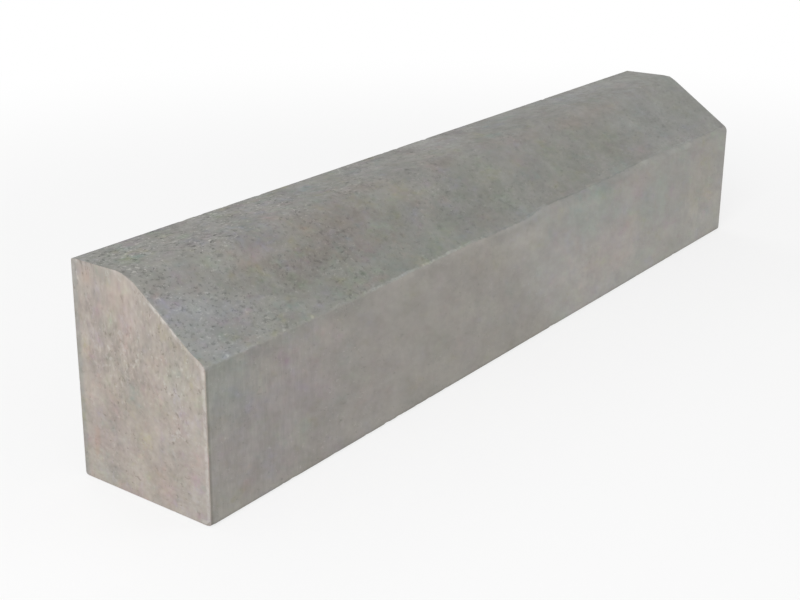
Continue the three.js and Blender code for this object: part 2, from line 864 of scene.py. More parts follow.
def vector_calc(tree, operation, *values):
    """One step of vector arithmetic."""
    node = add_node(tree, "ShaderNodeVectorMath", dict(enumerate(values)), operation=operation)
    return node.outputs["Value" if operation in ("LENGTH", "DISTANCE") else "Vector"]


def scaled(tree, vector, factor):
    """A vector times a number."""
    inputs = {"Vector": vector, "Scale": factor}
    node = add_node(tree, "ShaderNodeVectorMath", inputs, operation="SCALE")
    return node.outputs["Vector"]


def blend(tree, share, first, second):
    """Mixes two colours."""
    inputs = {MIX_SHARE: share, MIX_COLOURS[0]: first, MIX_COLOURS[1]: second}
    node = add_node(tree, "ShaderNodeMix", inputs, data_type="RGBA", clamp_factor=True)
    return node.outputs[MIX_COLOUR_OUT]


def blend_numbers(tree, share, first, second):
    """Mixes two numbers."""
    inputs = {MIX_SHARE: share, MIX_NUMBERS[0]: first, MIX_NUMBERS[1]: second}
    return add_node(tree, "ShaderNodeMix", inputs, data_type="FLOAT").outputs[MIX_NUMBER_OUT]


def ramp(tree, value, low, high, start=0.0, end=1.0):
    """Turns a range of values smoothly into another, and holds it at both ends."""
    inputs = {"Value": value, "From Min": low, "From Max": high, "To Min": start, "To Max": end}
    settings = {"interpolation_type": "SMOOTHSTEP", "clamp": True}
    node = add_node(tree, "ShaderNodeMapRange", inputs, **settings)
    return node.outputs["Result"]


def band(tree, value, centre, inner, outer):
    """1 within the inner distance of a value, and 0 beyond the outer one."""
    away = calc(tree, "ABSOLUTE", calc(tree, "SUBTRACT", value, centre))
    return ramp(tree, away, inner, outer, 1.0, 0.0)


def noise_node(tree, position, scale, detail=2.0, roughness=0.5):
    """A noise texture."""
    inputs = {"Vector": position, "Scale": scale, "Detail": detail, "Roughness": roughness}
    return add_node(tree, "ShaderNodeTexNoise", inputs)


def swing(tree, shade):
    """Stretches a noise to run from about -1 to 1, most of it near 0."""
    return calc(tree, "MULTIPLY_ADD", shade, SWING_GAIN, SWING_SHIFT)


def shaken(tree, value, shade, amount):
    """Moves a value up and down by a noise."""
    return calc(tree, "MULTIPLY_ADD", calc(tree, "SUBTRACT", shade, 0.5), amount, value)


def attribute(tree, name):
    """A number stored on the surface."""
    return add_node(tree, "ShaderNodeAttribute", attribute_name=name).outputs["Fac"]


def new_group(name, inputs, outputs):
    """Starts a shader node group with named sockets."""
    tree = bpy.data.node_groups.new(name, "ShaderNodeTree")
    for label, kind, default in inputs:
        kind = "NodeSocket" + kind
        socket = tree.interface.new_socket(name=label, in_out="INPUT", socket_type=kind)
        socket.default_value = default
    for label, kind in outputs:
        kind = "NodeSocket" + kind
        tree.interface.new_socket(name=label, in_out="OUTPUT", socket_type=kind)
    return tree, add_node(tree, "NodeGroupInput").outputs, add_node(tree, "NodeGroupOutput").inputs


def place_group(tree, group, **inputs):
    """Places a group and gives its outputs. Underscores in the inputs' names stand for spaces."""
    named = {name.replace("_", " ").capitalize(): value for name, value in inputs.items()}
    return add_node(tree, "ShaderNodeGroup", named, node_tree=group).outputs


# ---------------------------------------------------------------- shader groups

ORIGIN = (0.0, 0.0, 0.0)
ONES = (1.0, 1.0, 1.0)
NOISE_MIDDLE = (0.5, 0.5, 0.5)
WHITE = (1.0, 1.0, 1.0, 1.0)

# Moves to parts of a noise that lie well apart.
CLUSTER_OFFSET = (2.3, 0.4, 1.1)
TINT_OFFSET = (3.1, 1.7, 0.9)
SAND_OFFSET = (0.1, 0.9, 0.3)
LIGHT_OFFSET = (0.4, 1.2, 0.7)

# Noises as scale, detail and roughness.
PATCH_EDGE_NOISE = (60.0, 4.0, 0.75)
STIR_NOISE = (22.0, 2.0, 0.5)
WEAR_NOISE = (160.0, 3.0, 0.6)
# Detail and roughness of noises whose scale is given to the group.
GRAIN_NOISE = (2.0, 0.7)

# Air holes: how fine and how wide their places are shaken, in spacings, the smallest of them as a
# share of the largest, and where the rim starts, in radii.
HOLE_SHAKE_FINENESS = 6.0
HOLE_SHAKE = 0.35
SMALLEST_HOLE = 0.3
HOLE_RIM = 0.4

# Grains: the size of their clusters in grains, how strongly they cluster, and how soft their
# rims are.
CLUSTER_SIZE = 7.0
CLUSTERING = 0.22
GRAIN_RIM = 0.10

# How strongly the rare tints are raised, in red, green and blue.
TINT_GAIN = (32.0, 32.0, 46.0)

# Patches: how ragged their edge is, and where it runs, in reaches.
PATCH_RAGGEDNESS = 2.2
PATCH_EDGE = (0.25, 1.25, 1.0, 0.0)

# Cast concrete: the two kinds of clouds, how much the grit and the grains gather in places, the
# size of pits beside grains, and how far each part stands up.
SOFT_CLOUDS = {"detail": 3.0, "roughness": 0.85}
GRIT_CLOUDS = {"size": 0.0036, "detail": 1.0, "roughness": 0.5}
GRIT_GAIN = 1.15
GATHERING = (0.35, 0.65, 0.50, 1.50)
PIT_SIZE = 1.2
LEVEL = 0.7
GRIT_RISE = 0.16
CLOUD_RISE = 0.25
PIT_RISE = -0.45
SAND_RISE = 0.2
HOLE_RISE = -1.0


def hole_group():
    """Scattered round air holes of mixed size."""
    tree, given, out = new_group(
        "Air holes",
        [
            ("Position", "Vector", ORIGIN),
            ("Spacing", "Float", 0.012),
            ("Share", "Float", 0.5),
            ("Radius", "Float", 0.12),
        ],
        [("Mask", "Float")],
    )
    scale = calc(tree, "DIVIDE", 1.0, given["Spacing"])
    shake_scale = calc(tree, "MULTIPLY", scale, HOLE_SHAKE_FINENESS)
    shake = noise_node(tree, given["Position"], shake_scale, detail=1.0).outputs["Color"]
    centred = vector_calc(tree, "SUBTRACT", shake, NOISE_MIDDLE)
    shift = scaled(tree, centred, calc(tree, "MULTIPLY", given["Spacing"], HOLE_SHAKE))
    position = vector_calc(tree, "ADD", given["Position"], shift)
    cells = add_node(tree, "ShaderNodeTexVoronoi", {"Vector": position, "Scale": scale})
    lots = add_node(tree, "ShaderNodeSeparateColor", {"Color": cells.outputs["Color"]}).outputs
    chosen = calc(tree, "LESS_THAN", lots["Red"], given["Share"])
    size = calc(tree, "MULTIPLY_ADD", lots["Green"], 1.0 - SMALLEST_HOLE, SMALLEST_HOLE)
    radius = calc(tree, "MULTIPLY", size, given["Radius"])
    inner = calc(tree, "MULTIPLY", radius, HOLE_RIM)
    spot = ramp(tree, cells.outputs["Distance"], inner, radius, 1.0, 0.0)
    fill(tree, out["Mask"], calc(tree, "MULTIPLY", spot, chosen))
    return tree


def grain_group():
    """Sand grains or pits of uneven shape, in loose clusters."""
    tree, given, out = new_group(
        "Grains",
        [("Position", "Vector", ORIGIN), ("Size", "Float", 0.002), ("Level", "Float", 0.62)],
        [("Mask", "Float")],
    )
    scale = calc(tree, "DIVIDE", 1.0, given["Size"])
    grains = noise_node(tree, given["Position"], scale, *GRAIN_NOISE).outputs["Fac"]
    moved = vector_calc(tree, "ADD", given["Position"], CLUSTER_OFFSET)
    cluster_scale = calc(tree, "DIVIDE", scale, CLUSTER_SIZE)
    cluster = noise_node(tree, moved, cluster_scale, *GRAIN_NOISE).outputs["Fac"]
    clustered = shaken(tree, grains, cluster, CLUSTERING)
    top = calc(tree, "ADD", given["Level"], GRAIN_RIM)
    fill(tree, out["Mask"], ramp(tree, clustered, given["Level"], top))
    return tree


def clouds_group():
    """Clouds of tone and tint. At a high roughness the small ones are as strong as the large."""
    tree, given, out = new_group(
        "Clouds",
        [
            ("Position", "Vector", ORIGIN),
            ("Size", "Float", 0.05),
            ("Detail", "Float", 3.0),
            ("Roughness", "Float", 0.6),
        ],
        [("Tone", "Float"), ("Tint", "Vector")],
    )
    scale = calc(tree, "DIVIDE", 1.0, given["Size"])
    tone = noise_node(tree, given["Position"], scale, given["Detail"], given["Roughness"])
    fill(tree, out["Tone"], swing(tree, tone.outputs["Fac"]))
    moved = vector_calc(tree, "ADD", given["Position"], TINT_OFFSET)
    tint = noise_node(tree, moved, scale, given["Detail"], given["Roughness"]).outputs["Color"]
    even = vector_calc(tree, "SUBTRACT", tint, NOISE_MIDDLE)
    rare = vector_calc(tree, "MULTIPLY", even, vector_calc(tree, "ABSOLUTE", even))
    fill(tree, out["Tint"], vector_calc(tree, "MULTIPLY", rare, TINT_GAIN))
    return tree


def patch_group():
    """A patch round a point, with a ragged soft edge."""
    tree, given, out = new_group(
        "Patch",
        [
            ("Position", "Vector", ORIGIN),
            ("Centre", "Vector", ORIGIN),
            ("Reach", "Vector", (0.1, 0.1, 0.1)),
        ],
        [("Mask", "Float")],
    )
    away = vector_calc(tree, "SUBTRACT", given["Position"], given["Centre"])
    share = vector_calc(tree, "DIVIDE", away, given["Reach"])
    distance = vector_calc(tree, "LENGTH", share)
    edge = noise_node(tree, given["Position"], *PATCH_EDGE_NOISE).outputs["Fac"]
    ragged = shaken(tree, distance, edge, PATCH_RAGGEDNESS)
    fill(tree, out["Mask"], ramp(tree, ragged, *PATCH_EDGE))
    return tree


def cast_group(holes, grains, clouds):
    """Cast concrete: clouded cement paste with dark pits, pale sand grains and a few air holes."""
    tree, given, out = new_group(
        "Cast concrete",
        [
            ("Position", "Vector", ORIGIN),
            ("Colour", "Color", WHITE),
            ("Cloud size", "Float", 0.036),
            ("Cloud amount", "Float", 0.1),
            ("Grit amount", "Float", 0.05),
            ("Tint amount", "Float", 0.04),
            ("Grain size", "Float", 0.003),
            ("Pit level", "Float", 0.62),
            ("Pit amount", "Float", 0.3),
            ("Pit colour", "Color", WHITE),
            ("Grain level", "Float", 0.62),
            ("Grain amount", "Float", 0.3),
            ("Grain colour", "Color", WHITE),
            ("Hole spacing", "Float", 0.016),
            ("Hole radius", "Float", 0.13),
            ("Hole share", "Float", 0.3),
            ("Hole amount", "Float", 0.5),
        ],
        [("Colour", "Color"), ("Height", "Float")],
    )
    position = given["Position"]
    cloud = place_group(tree, clouds, position=position, size=given["Cloud size"], **SOFT_CLOUDS)
    even_grit = place_group(tree, clouds, position=position, **GRIT_CLOUDS)["Tone"]
    grit = product(tree, even_grit, calc(tree, "ABSOLUTE", even_grit), GRIT_GAIN)
    stirred = noise_node(tree, position, *STIR_NOISE).outputs["Fac"]
    busy = ramp(tree, stirred, *GATHERING)
    grit_amount = calc(tree, "MULTIPLY", given["Grit amount"], busy)
    tone = calc(tree, "MULTIPLY_ADD", cloud["Tone"], given["Cloud amount"], 1.0)
    tone = calc(tree, "MULTIPLY_ADD", grit, grit_amount, tone)
    tint = scaled(tree, cloud["Tint"], given["Tint amount"])
    tint = vector_calc(tree, "ADD", tint, ONES)
    paste = scaled(tree, vector_calc(tree, "MULTIPLY", given["Colour"], tint), tone)

    pit_size = product(tree, given["Grain size"], PIT_SIZE)
    pits = place_group(
        tree, grains, position=position, size=pit_size, level=given["Pit level"]
    )["Mask"]
    pit_share = product(tree, pits, given["Pit amount"], busy)
    dark = blend(tree, pit_share, paste, given["Pit colour"])
    sand_place = vector_calc(tree, "ADD", position, SAND_OFFSET)
    sand = place_group(
        tree, grains, position=sand_place, size=given["Grain size"], level=given["Grain level"]
    )["Mask"]
    sand_share = product(tree, sand, given["Grain amount"], busy)
    pale = blend(tree, sand_share, dark, given["Grain colour"])
    open_holes = place_group(
        tree,
        holes,
        position=position,
        spacing=given["Hole spacing"],
        share=given["Hole share"],
        radius=given["Hole radius"],
    )["Mask"]
    hole_share = calc(tree, "MULTIPLY", open_holes, given["Hole amount"])
    fill(tree, out["Colour"], blend(tree, hole_share, pale, given["Pit colour"]))

    height = LEVEL
    rises = (
        (grit, GRIT_RISE),
        (cloud["Tone"], CLOUD_RISE),
        (pits, PIT_RISE),
        (sand, SAND_RISE),
        (open_holes, HOLE_RISE),
    )
    for part, rise in rises:
        height = calc(tree, "MULTIPLY_ADD", part, rise, height)
    fill(tree, out["Height"], height)
    return tree


def streak_group():
    """Fine upright strokes, as a board or a steel form leaves them."""
    tree, given, out = new_group(
        "Form grain",
        [("Position", "Vector", ORIGIN), ("Width", "Float", 0.003), ("Stretch", "Float", 0.1)],
        [("Tone", "Float")],
    )
    squeeze = add_node(tree, "ShaderNodeCombineXYZ", {"X": 1.0, "Y": 1.0, "Z": given["Stretch"]})
    position = vector_calc(tree, "MULTIPLY", given["Position"], squeeze.outputs["Vector"])
    scale = calc(tree, "DIVIDE", 1.0, given["Width"])
    tone = noise_node(tree, position, scale, *GRAIN_NOISE).outputs["Fac"]
    fill(tree, out["Tone"], swing(tree, tone))
    return tree


def wear_group():
    """Worn arrises: 1 right at an arris, with a broken inner edge."""
    tree, given, out = new_group(
        "Arris wear",
        [("Position", "Vector", ORIGIN), ("Distance", "Float", 0.0), ("Reach", "Float", 0.003)],
        [("Mask", "Float")],
    )
    broken = noise_node(tree, given["Position"], *WEAR_NOISE).outputs["Fac"]
    reach = product(tree, given["Reach"], broken, 2.0)
    fill(tree, out["Mask"], ramp(tree, given["Distance"], 0.0, reach, 1.0, 0.0))
    return tree


def build_groups():
    """Makes each shader group once."""
    clouds = clouds_group()
    grains = grain_group()
    return {
        "clouds": clouds,
        "patch": patch_group(),
        "cast": cast_group(hole_group(), grains, clouds),
        "grains": grains,
        "streak": streak_group(),
        "wear": wear_group(),
    }


# ---------------------------------------------------------------- finishes

BUMP_STRENGTH = 0.8
BUMP_DEPTH = 0.6 * MM
SPECULAR = 0.35
# Where the full tone of a small spot ends, in radii.
SPOT_CORE = 0.3


def tone_by(tree, colour, mask, change):
    """Multiplies a colour by a red, green and blue change where the mask is 1."""
    return blend(tree, mask, colour, vector_calc(tree, "MULTIPLY", colour, change))


def new_material(name):
    """An empty material with the place on the stone ready to read."""
    material = bpy.data.materials.new(name)
    material.use_nodes = True
    tree = material.node_tree
    tree.nodes.clear()
    place = add_node(tree, "ShaderNodeTexCoord").outputs["Object"]
    return material, tree, place


def finish_material(tree, colour, roughness, height):
    """The concrete's shader, with its bump."""
    bumpiness = {"Strength": BUMP_STRENGTH, "Distance": BUMP_DEPTH, "Height": height}
    bump = add_node(tree, "ShaderNodeBump", bumpiness)
    shader = add_node(
        tree,
        "ShaderNodeBsdfPrincipled",
        {"Base Color": colour, "Roughness": roughness, "Normal": bump.outputs["Normal"]},
    )
    shader.inputs["Specular IOR Level"].default_value = SPECULAR
    output = add_node(tree, "ShaderNodeOutputMaterial")
    tree.links.new(shader.outputs["BSDF"], output.inputs["Surface"])


def patch_mask(tree, groups, place, centre, reach):
    """1 in the middle of a patch round a point."""
    return place_group(tree, groups["patch"], position=place, centre=centre, reach=reach)["Mask"]


def streaks(tree, groups, place, width, stretch):
    """Tone of fine upright strokes, from about -1 to 1."""
    group = groups["streak"]
    return place_group(tree, group, position=place, width=width, stretch=stretch)["Tone"]


def grain_mask(tree, groups, place, size, level):
    """1 on scattered grains."""
    return place_group(tree, groups["grains"], position=place, size=size, level=level)["Mask"]


def patched(tree, groups, place, colour, patches):
    """Lays soft patches of slightly other tone over a colour."""
    for centre, reach, change in patches:
        colour = tone_by(tree, colour, patch_mask(tree, groups, place, centre, reach), change)
    return colour


def spotted(tree, place, colour, spots, change):
    """Changes the tone in small round spots at known places."""
    for centre, radius in spots:
        distance = vector_calc(tree, "DISTANCE", place, centre)
        spot = ramp(tree, distance, radius * SPOT_CORE, radius, 1.0, 0.0)
        colour = tone_by(tree, colour, spot, change)
    return colour


# Patches as centre, reach and change of red, green and blue. Lengths are in metres.
SPLAY_PATCHES = [
    ((-0.47, -0.05, 0.158), (0.06, 0.05, 0.04), (1.05, 1.07, 1.13)),
    ((-0.30, -0.02, 0.180), (0.13, 0.05, 0.04), (0.94, 0.91, 0.90)),
    ((-0.333, -0.035, 0.168), (0.04, 0.02, 0.02), (0.94, 0.91, 0.91)),
    ((-0.22, -0.05, 0.157), (0.34, 0.05, 0.05), (0.895, 0.91, 0.90)),
    ((-0.147, -0.005, 0.190), (0.03, 0.02, 0.02), (1.06, 1.04, 1.03)),
    ((-0.04, -0.02, 0.175), (0.05, 0.04, 0.04), (0.94, 0.96, 0.93)),
    ((0.13, -0.04, 0.163), (0.05, 0.04, 0.04), (0.96, 0.98, 0.96)),
    ((0.23, -0.04, 0.163), (0.04, 0.03, 0.04), (0.97, 0.99, 0.94)),
    ((0.24, 0.00, 0.193), (0.06, 0.02, 0.02), (1.03, 1.00, 0.98)),
    ((0.42, -0.03, 0.172), (0.18, 0.09, 0.07), (1.06, 1.08, 1.10)),
    ((0.00, 0.045, 0.20), (0.90, 0.05, 0.02), (1.03, 1.03, 1.04)),
    ((-0.055, 0.055, 0.20), (0.03, 0.02, 0.02), (0.95, 0.95, 0.95)),
    ((0.005, 0.055, 0.20), (0.04, 0.03, 0.02), (1.09, 1.10, 1.11)),
    ((0.13, 0.045, 0.20), (0.05, 0.03, 0.02), (0.94, 0.95, 0.94)),
    ((0.275, 0.045, 0.20), (0.05, 0.03, 0.02), (1.07, 1.08, 1.10)),
    ((0.44, 0.045, 0.20), (0.14, 0.04, 0.02), (1.10, 1.11, 1.11)),
    ((0.47, -0.02, 0.18), (0.07, 0.05, 0.04), (1.01, 1.01, 0.985)),
    ((-0.285, -0.065, 0.148), (0.055, 0.010, 0.011), (0.935, 0.935, 0.94)),
    ((-0.175, -0.066, 0.147), (0.03, 0.009, 0.010), (0.935, 0.935, 0.94)),
    ((0.405, -0.066, 0.147), (0.09, 0.010, 0.012), (1.05, 1.05, 1.05)),
    ((0.24, 0.064, 0.20), (0.38, 0.018, 0.02), (1.09, 1.09, 1.10)),
    ((-0.37, -0.015, 0.182), (0.035, 0.022, 0.02), (1.00, 0.98, 0.975)),
    ((-0.25, -0.020, 0.178), (0.06, 0.034, 0.03), (1.00, 0.955, 0.95)),
    ((-0.21, -0.060, 0.151), (0.07, 0.022, 0.018), (0.96, 0.985, 0.97)),
    ((-0.18, 0.014, 0.199), (0.040, 0.012, 0.01), (1.00, 0.96, 0.955)),
    ((-0.055, 0.006, 0.197), (0.032, 0.012, 0.01), (1.00, 0.955, 0.945)),
    ((0.055, 0.008, 0.198), (0.038, 0.012, 0.01), (1.01, 0.965, 0.97)),
    ((0.110, 0.002, 0.195), (0.034, 0.011, 0.01), (1.01, 0.970, 0.975)),
    ((0.200, -0.002, 0.192), (0.030, 0.012, 0.01), (1.01, 0.975, 0.965)),
    ((0.295, 0.000, 0.195), (0.035, 0.012, 0.01), (1.01, 0.985, 0.985)),
]
# Dark spots of painted shade in and round the two open holes of the splay, as centre and radius,
# and the change of tone at their middle.
HOLE_SHADE_TONE = (0.78, 0.82, 0.78)
SPLAY_HOLE_SHADES = [
    ((-0.276, -0.0587, 0.1515), 0.0048),
    ((-0.470, -0.0500, 0.1576), 0.0030),
]
# Pale grains bared along the nose, as centre and radius, and their change of tone.
NOSE_GRAIN_TONE = (1.30, 1.31, 1.28)
NOSE_GRAINS = [
    ((-0.472, -0.0732, 0.1411), 0.0024),
    ((-0.403, -0.0734, 0.1409), 0.0026),
    ((-0.366, -0.0734, 0.1409), 0.0028),
]
# Where the lip along the nose is palest, as centre, reach and strength. Its paleness is partly
# the lip's own and partly painted highlight.
NOSE_LIGHTS = [
    (-0.205, 0.085, 0.70),
    (-0.055, 0.025, -0.15),
    (0.012, 0.025, 0.25),
    (0.065, 0.025, -0.15),
    (0.150, 0.060, 0.10),
    (0.280, 0.040, 0.15),
    (0.360, 0.035, 0.35),
]
NOSE_PATCHES = [
    ((0.128, -0.0710, 0.1428), (0.012, 0.004, 0.004), (1.13, 1.14, 1.12)),
    ((0.264, -0.0705, 0.1431), (0.014, 0.005, 0.005), (1.15, 1.16, 1.15)),
    ((0.340, -0.0725, 0.1415), (0.020, 0.004, 0.004), (1.07, 1.08, 1.08)),
    ((0.378, -0.0738, 0.1403), (0.012, 0.005, 0.005), (1.14, 1.15, 1.14)),
]
FRONT_PATCHES = [
    ((-0.480, -0.075, 0.115), (0.05, 0.03, 0.045), (0.90, 0.95, 0.95)),
    ((-0.42, -0.075, 0.065), (0.10, 0.03, 0.06), (0.97, 0.955, 0.995)),
    ((-0.32, -0.075, 0.06), (0.12, 0.03, 0.08), (0.99, 0.98, 0.99)),
    ((-0.02, -0.075, 0.125), (0.08, 0.03, 0.03), (1.03, 1.02, 1.00)),
    ((-0.155, -0.075, 0.127), (0.06, 0.03, 0.022), (1.04, 1.04, 1.04)),
    ((-0.045, -0.075, 0.105), (0.035, 0.03, 0.030), (1.05, 1.05, 1.05)),
    # This wide low patch and the two low ones to the right lighten the lower front: painted light
    # for the light it loses near the floor.
    ((0.14, -0.075, 0.035), (0.50, 0.03, 0.060), (1.04, 1.04, 1.04)),
    ((0.135, -0.075, 0.112), (0.07, 0.03, 0.032), (0.96, 1.025, 1.01)),
    ((0.155, -0.075, 0.132), (0.030, 0.02, 0.007), (0.92, 0.98, 0.96)),
    ((0.18, -0.075, 0.052), (0.10, 0.03, 0.036), (1.06, 1.015, 1.02)),
    ((0.245, -0.075, 0.120), (0.04, 0.03, 0.026), (1.05, 1.00, 1.01)),
    ((0.295, -0.075, 0.090), (0.05, 0.03, 0.038), (0.955, 1.015, 1.00)),
    ((0.433, -0.075, 0.080), (0.06, 0.03, 0.050), (1.055, 1.03, 0.995)),
    # These two low patches are painted light as well, lifting the lower front near the floor.
    ((0.30, -0.075, 0.010), (0.32, 0.03, 0.06), (1.05, 1.05, 1.04)),
    ((0.46, -0.075, 0.020), (0.08, 0.03, 0.05), (1.06, 1.06, 1.06)),
]
END_PATCHES = [
    ((-0.5, 0.020, 0.176), (0.03, 0.016, 0.018), (1.03, 0.97, 0.97)),
    ((-0.5, 0.058, 0.187), (0.03, 0.008, 0.009), (1.05, 1.00, 0.96)),
    ((-0.5, 0.056, 0.044), (0.03, 0.0045, 0.010), (1.00, 0.92, 0.88)),
    ((-0.5, 0.058, 0.028), (0.03, 0.0040, 0.009), (1.00, 0.92, 0.88)),
    ((-0.5, 0.042, 0.048), (0.03, 0.026, 0.028), (0.94, 0.91, 0.93)),
    ((-0.5, -0.045, 0.128), (0.03, 0.022, 0.030), (1.00, 1.04, 1.03)),
    ((-0.5, 0.045, 0.014), (0.03, 0.020, 0.010), (0.96, 1.01, 1.02)),
    ((-0.5, 0.018, 0.010), (0.03, 0.018, 0.008), (1.00, 1.02, 0.96)),
    ((-0.5, -0.060, 0.016), (0.03, 0.018, 0.020), (1.05, 1.08, 1.09)),
    ((-0.5, -0.020, 0.020), (0.03, 0.022, 0.012), (1.03, 0.99, 0.97)),
    ((-0.5, 0.030, 0.110), (0.03, 0.032, 0.045), (0.97, 0.96, 0.96)),
    ((-0.5, -0.010, 0.105), (0.03, 0.025, 0.050), (0.99, 0.98, 0.97)),
]
# Where strokes and specks gather on the left end, as centre and reach.
END_STROKES = ((-0.5, 0.028, 0.125), (0.05, 0.036, 0.042))
END_SPECKS = ((-0.5, -0.040, 0.072), (0.05, 0.016, 0.022))


# Markings that run along the casting: how much the length is pressed together, how that changes
# along the stone, and how far the markings sink towards the right end.
ROUGH_PRESS = 0.665
FORMED_PRESS = 0.60
PRESS_CHANGE = -0.135
ROUGH_SLANT = 0.0
FORMED_SLANT = 0.2

# Fades are given as start and end, then the values before and after where those aren't 0 and 1.
# Bands are given as centre, then half widths of full and of no strength. Lengths are in metres.

# Top and splay: fades along the stone, and one across it for the level top.
COARSE_END = (-0.5, 0.15, 0.74, 0.32)
TOP_ACROSS = (-0.005, 0.020)
TOP_ALONG = (0.10, 0.38, 1.0, 0.10)
TOP_GRAIN = (-0.42, -0.20, 1.9, 1.0)
ROUGH_TINT = (-0.3, 0.1, 0.078, 0.045)
ROUGH_TINT_END = (0.2, 0.4, 1.0, 0.8)
# How much stronger clouds, grains and pits are on the level top.
TOP_CLOUD_GAIN = 0.5
TOP_GRAIN_GAIN = 1.0
TOP_PIT_GAIN = 0.80

# Formed faces: fades along the stone, the slanting start of the paler right half, the dark foot.
FINE_END = (-0.42, 0.1, 1.0, 0.5)
FORMED_CLOUD = (-0.42, -0.1, 0.16, 0.125)
FORMED_CLOUD_END = (0.1, 0.4, 1.0, 0.8)
FORMED_TINT = (-0.42, -0.27, 1.9, 1.0)
FORMED_TINT_END = (-0.1, 0.15, 0.028, 0.050)
STROKES_LEFT = (-0.44, -0.28, 0.075, 0.010)
STROKES_RIGHT = (0.20, 0.40, 0.0, 0.018)
PALER = (0.032, 0.098)
PALER_TONE = (1.145, 1.17, 1.20)
FOOT = (0.0, 0.006, 1.0, 0.0)
FOOT_TONE = (0.865, 0.885, 0.865)

# The line along the nose: painted shade under a pale lip that is partly painted highlight.
# Its fades and bands run up the section from the lip, or along the stone.
NOSE_GAP_NOISE = (60.0, 4.0, 0.75)
NOSE_ACROSS = (-0.05, -0.04, 1.0, 0.0)
NOSE_LEFT = (-0.33, -0.20, 1.0, 0.0)
NOSE_LEFT_LIFT = 2.5 * MM
SHADOW_START = (-16 * MM, -4 * MM)
SHADOW_END = (0.5 * MM, 3.2 * MM, 1.0, 0.0)
SHADOW_GAP = (-0.19, 0.085, 0.115)
SHADOW_TONE = (0.90, 0.91, 0.91)
DEEPER_SHADOW = (0.14, 0.085, 0.125)
DEEPER_SHADOW_TONE = (0.925, 0.93, 0.93)
# A thin line of painted shade just under the lip, broken here and there, at the left end and
# towards the right.
UNDER_LIP_SHADE = (-1.4 * MM, 0.5 * MM, 2.6 * MM)
UNDER_LIP_SHADE_RIGHT = (0.02, 0.08, 0.0, 0.85)
UNDER_LIP_SHADE_BREAKS = (0.36, 0.62, 0.15, 1.0)
UNDER_LIP_SHADE_TONE = (0.92, 0.93, 0.93)
# The pale lip: partly the lip's own paler concrete, partly painted highlight along the nose.
LIP = (1.2 * MM, 0.6 * MM, 2.1 * MM)
LIP_BREAKS = (0.36, 0.60, 0.30, 1.0)
LIP_STRENGTH = 0.28
LIP_AND_HIGHLIGHT_TONE = (1.36, 1.37, 1.39)
# Half widths of a light on the lip, in reaches.
LIGHT_CORE = 0.7
LIGHT_RIM = 1.3

# Borders and rims of the long faces, with a line of painted shade along the back edge and, at
# the left end, a pale rim that is partly worn and partly painted highlight.
LONG_RIM_NOISE = (150.0, 3.0, 0.6)
NOSE_RAGGEDNESS = 5 * MM
NOSE_BORDER = (-1.2 * MM, 1 * MM)
BACK_BORDER = (-1 * MM, 1 * MM)
# A thin line of painted shade along the back edge, where the rounded arris turns away from the
# light.
BACK_SHADE_LINE = (0.5 * MM, 0.8 * MM, 2.2 * MM)
BACK_ACROSS = (0.06, 0.07)
BACK_SHADE_LINE_TONE = (0.84, 0.84, 0.84)
HALF_LENGTH = 0.5
BELOW_NOSE = (-4 * MM, 0.0, 1.0, 0.0)
LEFT_EDGE = (1.5 * MM, 4 * MM, 1.0, 0.0)
LEFT_EDGE_TONE = (0.80, 0.78, 0.75)
LEFT_RIM = (1 * MM, 2.2 * MM, 1.0, 0.0)
MID_SPLAY = (-0.036, 0.010, 0.030)
LEFT_RIM_LIGHT = 0.20
LEFT_RIM_LEAST = 0.05
WEAR_REACH = 2.2 * MM
PAST_NOSE = (10 * MM, 14 * MM)
WORN_TONE = (0.97, 0.97, 0.96)
CHIP_SHARE = 0.7
CHIP_TONE = (1.10, 1.08, 1.05)
# Painted shade inside the carved air holes, deeper on the top and splay than on the formed faces.
ROUGH_HOLLOW_SHADE = 0.6
FORMED_HOLLOW_SHADE = 0.4
HOLLOW_SHADE_TONE = (0.80, 0.81, 0.81)
FORMED_ROUGHNESS = 0.77
ADDED_ROUGHNESS = 0.10
ROUGHNESS_SWING = 0.10

# Ends: how their markings are stretched, and fades up the end.
END_PRESS = 1.05
END_PRESS_CHANGE = -1.5
END_ACROSS = 0.84
UPPER_END = (0.05, 0.12, 0.6, 1.0)
FIBRE_FADE = (0.07, 0.13, 0.02, 0.055)
FIBRE_GAIN = 0.11
FIBRE_RISE = 0.18
BROWN_STROKES = 0.8
BROWN_SHARE = 0.60
LIGHT_SHARE = 0.22
END_ROUGHNESS = 0.84
FIBRE_ROUGHNESS = 0.04

# Rims of the ends: a strip of painted shade along the back, and pale rims along the top, the
# splay and the front that are partly worn and partly painted highlight.
END_RIM_NOISE = (120.0, 4.0, 0.7)
# A ragged strip of painted shade along the back edge of each end, where the back arris turns away
# from the light.
END_BACK_SHADE_RAGGEDNESS = 8 * MM
END_BACK_SHADE = (0.067, 0.072)
END_BACK_SHADE_TONE = (0.86, 0.92, 0.94)
ROOF_SIDE = (0.142, 0.146)
FRONT_SIDE = (-0.066, -0.060, 1.0, 0.0)
ROOF_BREAKS = (0.42, 0.60, 0.1, 0.75)
END_MID_SPLAY = (-0.036, 0.010, 0.032)
ROOF_LIGHT = 0.65
ROOF_LEAST = 0.15
ROOF_RIM = (1.4 * MM, 1.2 * MM, 3.6 * MM)
FRONT_BREAKS = (0.38, 0.60, 0.04, 0.34)
FRONT_RIM = (2.6 * MM, 0.8 * MM, 3 * MM)
FRONT_EDGE = (0.8 * MM, 1.8 * MM, 1.0, 0.0)
FRONT_EDGE_TONE = (0.82, 0.81, 0.80)
END_CHIP_TONE = (1.06, 1.05, 1.03)
# Painted shade inside the carved air holes of the ends.
END_HOLLOW_SHADE_TONE = (0.86, 0.86, 0.86)


